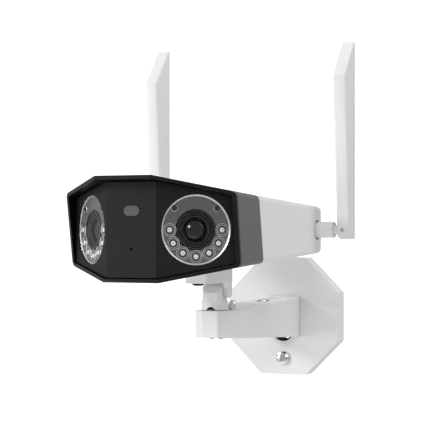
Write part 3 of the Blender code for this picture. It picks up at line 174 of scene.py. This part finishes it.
def metal_group():
    """Machined or plated metal: fine turning lines and dull spots."""
    tree, g, given, end = group(
        "worked metal",
        [("Colour", COLOUR, WHITE), ("Roughness", NUMBER, 0.2), ("Lines", NUMBER, 0.1),
         ("Spots", NUMBER, 0.1)],
        [("Colour", COLOUR), ("Roughness", NUMBER), ("Grain", NUMBER)],
    )
    place = g.place()
    drawn = g.node("ShaderNodeMapping", None, Vector=place, Scale=(1.0, 14.0, 1.0)).outputs[0]
    lines = g.noise(900.0, 3.0, 0.6, drawn)
    spots = g.spread(g.noise(420.0, 4.0, 0.6, place), 0.0, 1.0, 0.52, 0.7)
    dull = g.math("MULTIPLY", spots, given["Spots"])
    dark = g.math("SUBTRACT", 1.0, g.math("MULTIPLY", dull, 0.5))
    shade = g.node("ShaderNodeVectorMath", {"operation": "SCALE"}, i0=given["Colour"], Scale=dark)
    g.feed(end, "Colour", shade.outputs[0])
    brushed = g.math("MULTIPLY", g.math("SUBTRACT", lines, 0.5), given["Lines"])
    rough = g.math("ADD", given["Roughness"], brushed)
    g.feed(end, "Roughness", g.math("ADD", rough, dull, clamp=True))
    g.feed(end, "Grain", lines)
    return tree


def circuit_group():
    """Printed board: copper traces under the mask, with tinned pads."""
    tree, g, given, end = group(
        "printed board",
        [("Mask Colour", COLOUR, (0.02, 0.12, 0.06, 1.0)), ("Trace Scale", NUMBER, 520.0)],
        [("Colour", COLOUR), ("Roughness", NUMBER), ("Metal", NUMBER), ("Relief", NUMBER)],
    )
    place = g.place()
    scale = given["Trace Scale"]
    edges = g.node("ShaderNodeTexVoronoi", {"feature": "DISTANCE_TO_EDGE"}, Vector=place,
                   Scale=scale)
    trace = g.spread(edges.outputs["Distance"], 1.0, 0.0, 0.03, 0.06)
    dots = g.node("ShaderNodeTexVoronoi", None, Vector=place, Scale=scale)
    pads = g.spread(dots.outputs["Distance"], 1.0, 0.0, 0.16, 0.2)
    bright = g.mix(g.math("MULTIPLY", trace, 0.5), given["Mask Colour"], (0.1, 0.3, 0.13, 1.0))
    g.feed(end, "Colour", g.mix(pads, bright, (0.7, 0.68, 0.62, 1.0)))
    g.feed(end, "Roughness", g.spread(pads, 0.4, 0.28))
    g.feed(end, "Metal", pads)
    g.feed(end, "Relief", g.math("ADD", trace, pads, clamp=True))
    return tree


MOULDED = moulding_group()
DUST = dust_group()
METAL = metal_group()
CIRCUIT = circuit_group()


def new_material(name):
    made = bpy.data.materials.new(name)
    made.use_nodes = True
    graph = Graph(made.node_tree)
    return made, graph, made.node_tree.nodes["Principled BSDF"]


def use_group(graph, tree, **inputs):
    return graph.node("ShaderNodeGroup", {"node_tree": tree}, **inputs).outputs


def rgba(value):
    return (value, value, value, 1.0) if isinstance(value, (int, float)) else (*value, 1.0)


def relief(graph, shader, height, depth, strength=1.0):
    bump = graph.node("ShaderNodeBump", None, Height=height, Distance=depth, Strength=strength)
    graph.feed(shader, "Normal", bump.outputs[0])


def plastic(name, colour, roughness, specular=0.5, mottle=0.03, marks=0.08, grain=0.006 * MM,
            dust=0.0, grain_scale=2600.0, coat=0.0):
    made, g, shader = new_material(name)
    base = use_group(g, MOULDED, Colour=rgba(colour), Mottle=mottle, Roughness=roughness,
                     Marks=marks, Grain_Scale=grain_scale)
    top = base
    if dust:
        top = use_group(g, DUST, Colour=base["Colour"], Roughness=base["Roughness"], Amount=dust)
    g.feed(shader, "Base Color", top["Colour"])
    g.feed(shader, "Roughness", top["Roughness"])
    shader.inputs["Specular IOR Level"].default_value = specular
    shader.inputs["Coat Weight"].default_value = coat
    relief(g, shader, base["Grain"], grain)
    return made


def metal(name, colour, roughness, lines=0.1, spots=0.1):
    made, g, shader = new_material(name)
    base = use_group(g, METAL, Colour=rgba(colour), Roughness=roughness, Lines=lines, Spots=spots)
    g.feed(shader, "Base Color", base["Colour"])
    g.feed(shader, "Roughness", base["Roughness"])
    shader.inputs["Metallic"].default_value = 1.0
    relief(g, shader, base["Grain"], 0.004 * MM)
    return made


def board(name, mask):
    made, g, shader = new_material(name)
    base = use_group(g, CIRCUIT, Mask_Colour=rgba(mask))
    g.feed(shader, "Base Color", base["Colour"])
    g.feed(shader, "Roughness", base["Roughness"])
    g.feed(shader, "Metallic", base["Metal"])
    relief(g, shader, base["Relief"], 0.03 * MM)
    return made


def clear_sheet(name):
    """Thin clear window: its alpha is what the sheet mirrors, so the lamps behind stay lit."""
    made, g, shader = new_material(name)
    mirrored = g.node("ShaderNodeFresnel", None, IOR=1.5).outputs[0]
    smears = g.spread(g.noise(160.0, 5.0, 0.6, g.place()), 0.0, 0.006, 0.45, 0.75)
    g.feed(shader, "Alpha", g.math("ADD", g.math("MULTIPLY", mirrored, 0.1), smears, clamp=True))
    shader.inputs["Base Color"].default_value = (0.92, 0.94, 0.95, 1.0)
    shader.inputs["Metallic"].default_value = 1.0
    g.feed(shader, "Roughness", g.spread(smears, 0.02, 0.12, 0.0, 0.006))
    return made


def coated_glass(name):
    """Dark lens with a faint blue and violet coating; its colour lightens and turns bluer towards
    grazing angles as a painted sheen.
    """
    made, g, shader = new_material(name)
    # painted sheen: the base colour gets lighter towards grazing angles, standing in for the lens's
    # reflection there
    grazing_sheen = g.node("ShaderNodeLayerWeight", None, Blend=0.35).outputs["Facing"]
    painted_sheen_tint = g.mix(grazing_sheen, (0.005, 0.005, 0.008, 1.0), (0.018, 0.02, 0.03, 1.0))
    g.feed(shader, "Base Color", painted_sheen_tint)
    g.feed(shader, "Roughness", g.spread(g.noise(700.0, 3.0, 0.5, g.place()), 0.02, 0.06))
    shader.inputs["Specular IOR Level"].default_value = 0.5
    shader.inputs["Coat Weight"].default_value = 0.25
    shader.inputs["Coat Roughness"].default_value = 0.02
    return made


BLACK_GLOSS = plastic("black hood plastic", 0.005, 0.3, 0.3, 0.1, 0.1, dust=0.02)
INNER_BLACK = plastic("black lens plastic", 0.006, 0.4, 0.2, 0.1)
# lighter grey for the lens tube's ring lips: a painted highlight on those edges
TUBE_EDGE_HIGHLIGHT = plastic("lens tube painted highlight", 0.075, 0.3, 0.5, 0.1)
CHARCOAL = plastic("charcoal panel", 0.0165, 0.45, 0.12, 0.06, 0.06, 0.004 * MM)
BAND_GREY = plastic("grey hood band", 0.105, 0.42, 0.4, 0.04, dust=0.04)
SHELL_WHITE = plastic("white housing", 0.80, 0.42, 0.5, 0.02, dust=0.03)
BLADE_WHITE = plastic("white antenna plastic", 0.78, 0.46, 0.45, 0.02, dust=0.02)
PAINT_WHITE = plastic("white bracket paint", 0.80, 0.38, 0.5, 0.02, 0.08, 0.01 * MM, 0.04, 1500.0)
SURROUND_GREY = plastic("lamp surround", 0.125, 0.4, 0.5, 0.05)
CUP_SILVER = metal("lamp cup plating", (0.8, 0.8, 0.8), 0.34, 0.1, 0.1)
LAMP_COLLAR = plastic("lamp collar", 0.02, 0.3, 0.5, 0.05)
LAMP_DOME = plastic("lamp dome", 0.8, 0.12, 0.6, 0.03, 0.02, coat=0.5)
LAMP_BOARD = board("white lamp board", (0.55, 0.55, 0.54))
GREEN_BOARD = board("green circuit board", (0.02, 0.12, 0.06))
RUBBER = plastic("black rubber", 0.008, 0.75, 0.12, 0.1, 0.1, 0.02 * MM, 0.02, 1800.0)
CHROME = metal("chrome", (0.82, 0.82, 0.83), 0.07, 0.03, 0.04)
STEEL = metal("zinc-plated steel", (0.55, 0.56, 0.57), 0.3, 0.15, 0.2)
DARK_STEEL = metal("blackened steel", (0.07, 0.07, 0.072), 0.36, 0.15, 0.2)
ALUMINIUM = metal("bead-blasted aluminium", (0.68, 0.69, 0.7), 0.42, 0.2, 0.1)
DIFFUSER = plastic("milky light window", 0.09, 0.25, 0.5, 0.12, 0.05, coat=0.4)
CLEAR = clear_sheet("clear window")
LENS = coated_glass("coated lens")

NODE_MATERIALS = {
    BLACK_GLOSS: ("front_bezel", "reset_button"),
    CHARCOAL: ("front_panel",),
    BAND_GREY: ("hood_band",),
    SHELL_WHITE: ("housing_shell", "service_cover"),
    BLADE_WHITE: ("antenna_blade_left", "antenna_blade_right", "antenna_stub_left",
                  "antenna_stub_right"),
    PAINT_WHITE: ("tilt_yoke", "swivel_post", "bracket_arm", "base_cover"),
    GREEN_BOARD: ("main_board", "status_board", "service_board", "sensor_board_left",
                  "sensor_board_right"),
    INNER_BLACK: ("lens_holder_left", "lens_holder_right"),
    # cable_grommet is a black lining put inside the cable hole as painted shade for the hole's
    # shadowed inner wall
    RUBBER: ("housing_gasket", "mic_boot", "cable_gland", "cable_plug", "cable_grommet",
             "antenna_socket_left", "antenna_socket_right"),
    CHROME: ("acorn_nut", "lock_screw", "tilt_bolt"),
    STEEL: ("wall_plate", "pan_plate", "pocket_screw", "tilt_nut", "yoke_screw_1", "yoke_screw_2",
            "service_screw_1", "service_screw_2", "antenna_pin_left", "antenna_pin_right",
            "arm_screw_left", "arm_screw_right"),
    DARK_STEEL: ("pan_screw_1", "pan_screw_2", "speaker", "antenna_retainer_left",
                 "antenna_retainer_right"),
    ALUMINIUM: ("heat_spreader",),
    DIFFUSER: ("status_window",),
}
MATERIAL_OF = {node: made for made, nodes in NODE_MATERIALS.items() for node in nodes}
BODIES = frame["record"]["behaviour"]["bodies"]
BODY_OF = {node: body for body, nodes in BODIES.items() for node in nodes}


# ---------------------------------------------------------------- making pieces
def finish_piece(name, bm, materials, node, place=None):
    """Object standing for a CAD node and riding on its body; place takes millimetres to metres."""
    if place is not None:
        bmesh.ops.scale(bm, vec=(MM, MM, MM), verts=bm.verts)
        bmesh.ops.transform(bm, matrix=place, verts=bm.verts)
    bmesh.ops.recalc_face_normals(bm, faces=bm.faces)
    mesh = bpy.data.meshes.new(name)
    bm.to_mesh(mesh)
    bm.free()
    for made in materials:
        mesh.materials.append(made)
    mesh.shade_smooth()
    mesh.set_sharp_from_angle(angle=SHARP_ANGLE)
    piece = bpy.data.objects.new(name, mesh)
    bpy.context.scene.collection.objects.link(piece)
    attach(piece, BODY_OF[node])
    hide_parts(node)
    return piece


def softened(node, width):
    """Copy of a CAD node with its hard edges rounded to a width in millimetres."""
    bm = bmesh.new()
    bm.from_mesh(frame["nodes"][node].data)
    bmesh.ops.remove_doubles(bm, verts=bm.verts, dist=0.002 * MM)
    flat = math.radians(0.6)
    bmesh.ops.dissolve_limit(bm, angle_limit=flat, verts=bm.verts, edges=bm.edges)
    piece = finish_piece(f"{node}_soft", bm, [MATERIAL_OF[node]], node)
    edge = piece.modifiers.new("rounded edges", "BEVEL")
    edge.width = width * MM
    edge.segments = ROUNDING_SEGMENTS
    edge.limit_method = "ANGLE"
    edge.angle_limit = SHARP_ANGLE
    edge.harden_normals = True


def ring_of(bm, radius, level, centre, count):
    """Circle of vertices about the local Y axis."""
    points = []
    for i in range(count):
        turn = 2 * math.pi * i / count
        x, z = centre[0] + radius * math.cos(turn), centre[1] + radius * math.sin(turn)
        points.append(bm.verts.new((x, level, z)))
    return points


def lathe(bm, profile, centre=(0.0, 0.0), count=FINE, closed=False, material=0):
    """Turns (radius, depth) pairs about the local Y axis; a radius of nothing is a single point."""
    rings = [ring_of(bm, max(radius, 0.01), level, centre, count) for radius, level in profile]
    pairs = list(zip(rings, rings[1:]))
    if closed:
        pairs.append((rings[-1], rings[0]))
    for low, high in pairs:
        for i in range(count):
            j = (i + 1) % count
            bm.faces.new((low[i], low[j], high[j], high[i])).material_index = material
    if not closed:
        bm.faces.new(rings[0]).material_index = material
        bm.faces.new(rings[-1]).material_index = material


def dome(radius, edge, crown, steps=8):
    """Profile of a domed end from its rim to its crown."""
    turns = [math.pi / 2 * i / steps for i in range(steps + 1)]
    return [(radius * math.cos(t), edge + (crown - edge) * math.sin(t)) for t in turns]


def lamp_places():
    """Middles of the lamps, which run round the lower half of the window."""
    turns = [math.pi + math.pi * i / (LAMP_COUNT - 1) for i in range(LAMP_COUNT)]
    return [(LAMP_CIRCLE * math.cos(t), LAMP_CIRCLE * math.sin(t)) for t in turns]


def facet_frame(side, sign):
    """Frame on a facet's face, in the middle of its window, with Y running back."""
    low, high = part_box(f"lens_window_{side}")
    middle = (Vector(low) + Vector(high)) / 2
    turn = Matrix.Rotation(sign * FACET_SPLAY, 4, "Z")
    return Matrix.Translation(middle) @ turn @ Matrix.Translation((0, -WINDOW_MIDDLE_DEPTH, 0))


def build_window(side, place):
    rim = WINDOW_RADIUS
    bm = bmesh.new()
    lathe(bm, [(rim - 0.15, 0.2), (rim, 0.3), (rim, 0.8), (rim - 0.15, 0.9)])
    finish_piece(f"front_window_{side}", bm, [CLEAR], f"lens_window_{side}", place)


def build_surround(side, place):
    """Grey surround with its bright rim, lamp cups and two screw heads."""
    bm = bmesh.new()
    lathe(bm, [(10.8, 2.5), (20.4, 2.5), (20.4, 1.55), (18.7, 1.55), (18.6, 1.2), (18.45, 1.05),
               (18.25, 1.1), (17.4, 1.6), (17.1, 1.7), (11.2, 1.7), (10.9, 1.8)], closed=True)
    lathe(bm, [(18.35, 1.05), (18.5, 1.0), (18.5, 1.3), (17.75, 1.3)], closed=True, material=1)
    for spot in lamp_places():
        lathe(bm, [(3.6, 1.8), (3.6, 1.5), (3.5, 1.35), (3.3, 1.35), (3.2, 1.5), (3.2, 1.8)],
              spot, MEDIUM, closed=True, material=1)
        lathe(bm, [(2.75, 1.8), (2.7, 1.35), (2.6, 1.2), (2.4, 1.2), (2.25, 1.4), (2.2, 1.8)],
              spot, MEDIUM, closed=True, material=1)
    for turn in EYE_SCREW_TURNS:
        spot = (EYE_SCREW_CIRCLE * math.cos(turn), EYE_SCREW_CIRCLE * math.sin(turn))
        lathe(bm, [(1.9, 1.8), (1.9, 1.55), (1.75, 1.45), (1.6, 1.55), (1.55, 1.8)],
              spot, MEDIUM, closed=True, material=1)
        lathe(bm, [(1.45, 1.8), (1.45, 1.4), (1.3, 1.25), (0.8, 1.2), (0.6, 1.45)],
              spot, MEDIUM, material=2)
    materials = [SURROUND_GREY, CUP_SILVER, DARK_STEEL]
    finish_piece(f"lamp_surround_{side}", bm, materials, f"reflector_{side}", place)


def build_lamps(side, place):
    """Lamp board with a collar and a dome for each lamp."""
    bm = bmesh.new()
    lathe(bm, [(10.75, 2.8), (20.0, 2.8), (20.0, 4.0), (10.75, 4.0)], closed=True)
    for spot in lamp_places():
        lathe(bm, [(2.0, 3.2), (2.0, 1.5), (1.85, 1.3), (1.6, 1.3), (1.5, 1.5)],
              spot, MEDIUM, material=1)
        lathe(bm, [(1.42, 1.8)] + dome(1.42, 1.45, 1.0), spot, MEDIUM, material=2)
    materials = [LAMP_BOARD, LAMP_COLLAR, LAMP_DOME]
    finish_piece(f"lamp_ring_{side}", bm, materials, f"ir_board_{side}", place)


def build_lens(side, place):
    """Stepped lens tube with three lighter edge rings, a painted highlight on its lips, and the
    front lens inside it.
    """
    bm = bmesh.new()
    lathe(bm, [(10.45, 1.6), (10.3, 1.3), (9.95, 1.2), (9.6, 1.45), (9.45, 2.0), (8.8, 2.1),
               (8.6, 1.8), (8.35, 1.8), (8.2, 2.15), (8.05, 2.5), (7.4, 2.6), (7.2, 2.3),
               (6.95, 2.3), (6.75, 2.6), (6.1, 3.1), (6.1, 17.4), (8.6, 17.4), (8.6, 9.4),
               (10.45, 9.4)], closed=True)
    # thin lighter rings on the tube's lips, painted highlights
    for inner, front in ((6.95, 2.25), (8.3, 1.75), (9.75, 1.15)):
        lathe(bm, [(inner + 0.3, front + 0.3), (inner + 0.25, front + 0.05),
                   (inner + 0.15, front), (inner + 0.05, front + 0.05), (inner, front + 0.3)],
              closed=True, material=1)
    finish_piece(f"lens_tube_{side}", bm, [INNER_BLACK, TUBE_EDGE_HIGHLIGHT], f"lens_barrel_{side}", place)

    bm = bmesh.new()
    lathe(bm, [(5.8, 8.2)] + dome(5.8, 5.1, 2.8, 14))
    finish_piece(f"front_lens_{side}", bm, [LENS], f"lens_glass_{side}", place)


def upright_frame(node):
    """Frame on top of a node that stands on the Z axis, with Y running down into it."""
    low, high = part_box(node)
    top = Vector(((low[0] + high[0]) / 2, (low[1] + high[1]) / 2, high[2]))
    return Matrix.Translation(top) @ Matrix.Rotation(math.radians(-90), 4, "X")


def build_acorn_nut():
    """The acorn nut beside the post, turned finely on its stud."""
    bm = bmesh.new()
    stud_and_foot = [(1.0, 9.7), (1.0, 6.0), (1.9, 6.0), (2.1, 5.2), (2.25, 4.2)]
    lathe(bm, stud_and_foot + dome(2.3, 3.3, 0.02, 12), count=MEDIUM)
    finish_piece("acorn_nut_fine", bm, [CHROME], "acorn_nut", upright_frame("acorn_nut"))


# ---------------------------------------------------------------- pieces
for side_name, side_sign in SIDES:
    eye_place = facet_frame(side_name, side_sign)
    build_window(side_name, eye_place)
    build_surround(side_name, eye_place)
    build_lamps(side_name, eye_place)
    build_lens(side_name, eye_place)
build_acorn_nut()
softened("front_bezel", 0.35)
softened("hood_band", 0.2)
softened("front_panel", 0.3)
softened("lock_screw", 0.3)
for side_name, _ in SIDES:
    softened(f"antenna_blade_{side_name}", 0.25)

for node, made in MATERIAL_OF.items():
    shown = frame["nodes"][node].data
    shown.materials.clear()
    shown.materials.append(made)


# ---------------------------------------------------------------- studio
MIDDLE = Vector((0, -0.12, 0.05))
WORLD_LIGHT = 0.42
LIGHTS = (  # name, place, size, power
    ("key", (-1.3, -1.3, 0.75), (0.45, 0.45), 13),
    ("low", (-1.25, -1.3, -0.1), (0.7, 0.5), 6.5),
    ("top", (0.1, 0.1, 1.5), (1.2, 0.8), 6),
    ("side", (1.5, 0.1, 1.1), (0.8, 1.2), 8),
    ("spark", (0.435, -1.58, 0.52), (0.36, 0.36), 4.5),
)
CAMERA_PLACE = (0.3686, -0.9186, 0.0560)
CAMERA_TURN = math.radians(24.52)
CAMERA_RISE = 0.0224
FOCAL_LENGTH = 122.8


def studio_sweep():
    """Pale floor that curves up into a backdrop."""
    half, front, back, floor, top, radius, steps = 6.0, -5.0, 3.0, -0.9, 4.0, 1.2, 16
    line = [(front, floor)]
    for i in range(steps + 1):
        turn = -math.pi / 2 + math.pi / 2 * i / steps
        y, z = back - radius + radius * math.cos(turn), floor + radius + radius * math.sin(turn)
        line.append((y, z))
    line.append((back, top))
    bm = bmesh.new()
    rows = [[bm.verts.new((x, y, z)) for y, z in line] for x in (-half, half)]
    for i in range(len(line) - 1):
        bm.faces.new((rows[0][i], rows[1][i], rows[1][i + 1], rows[0][i + 1]))
    mesh = bpy.data.meshes.new("studio_floor")
    bm.to_mesh(mesh)
    bm.free()
    mesh.shade_smooth()
    made, g, shader = new_material("pale studio floor")
    shader.inputs["Base Color"].default_value = (0.9, 0.9, 0.9, 1.0)
    shader.inputs["Roughness"].default_value = 0.9
    shader.inputs["Emission Color"].default_value = WHITE
    seen = g.node("ShaderNodeLightPath").outputs["Is Camera Ray"]
    g.feed(shader, "Emission Strength", g.spread(seen, 0.05, 0.8))
    mesh.materials.append(made)
    sweep = bpy.data.objects.new("studio_floor", mesh)
    bpy.context.scene.collection.objects.link(sweep)


def studio_light(name, place, size, power):
    """Rectangular light aimed at the middle of the object."""
    light = bpy.data.lights.new(name, "AREA")
    light.shape = "RECTANGLE"
    light.size, light.size_y = size
    light.energy = power
    lamp = bpy.data.objects.new(name, light)
    lamp.location = place
    lamp.rotation_euler = (MIDDLE - Vector(place)).to_track_quat("-Z", "Y").to_euler()
    bpy.context.scene.collection.objects.link(lamp)


def studio_world():
    """White world, dimmer as a light than as what the camera sees."""
    world = bpy.data.worlds.new("studio")
    world.use_nodes = True
    g = Graph(world.node_tree)
    shader = world.node_tree.nodes["Background"]
    shader.inputs["Color"].default_value = WHITE
    seen = g.node("ShaderNodeLightPath").outputs["Is Camera Ray"]
    g.feed(shader, "Strength", g.spread(seen, WORLD_LIGHT, 1.0))
    bpy.context.scene.world = world


def studio_camera():
    """Level camera to the right of the lenses, aimed past the middle of the object."""
    lens = bpy.data.cameras.new("camera")
    lens.sensor_width = 36.0
    lens.lens = FOCAL_LENGTH
    lens.shift_y = CAMERA_RISE
    lens.clip_end = 50.0
    eye = bpy.data.objects.new("camera", lens)
    eye.location = CAMERA_PLACE
    eye.rotation_euler = (math.radians(90), 0, CAMERA_TURN)
    bpy.context.scene.collection.objects.link(eye)
    bpy.context.scene.camera = eye


studio_sweep()
studio_world()
for light_name, light_place, light_size, light_power in LIGHTS:
    studio_light(light_name, light_place, light_size, light_power)
studio_camera()
bpy.context.scene.view_settings.view_transform = "Standard"
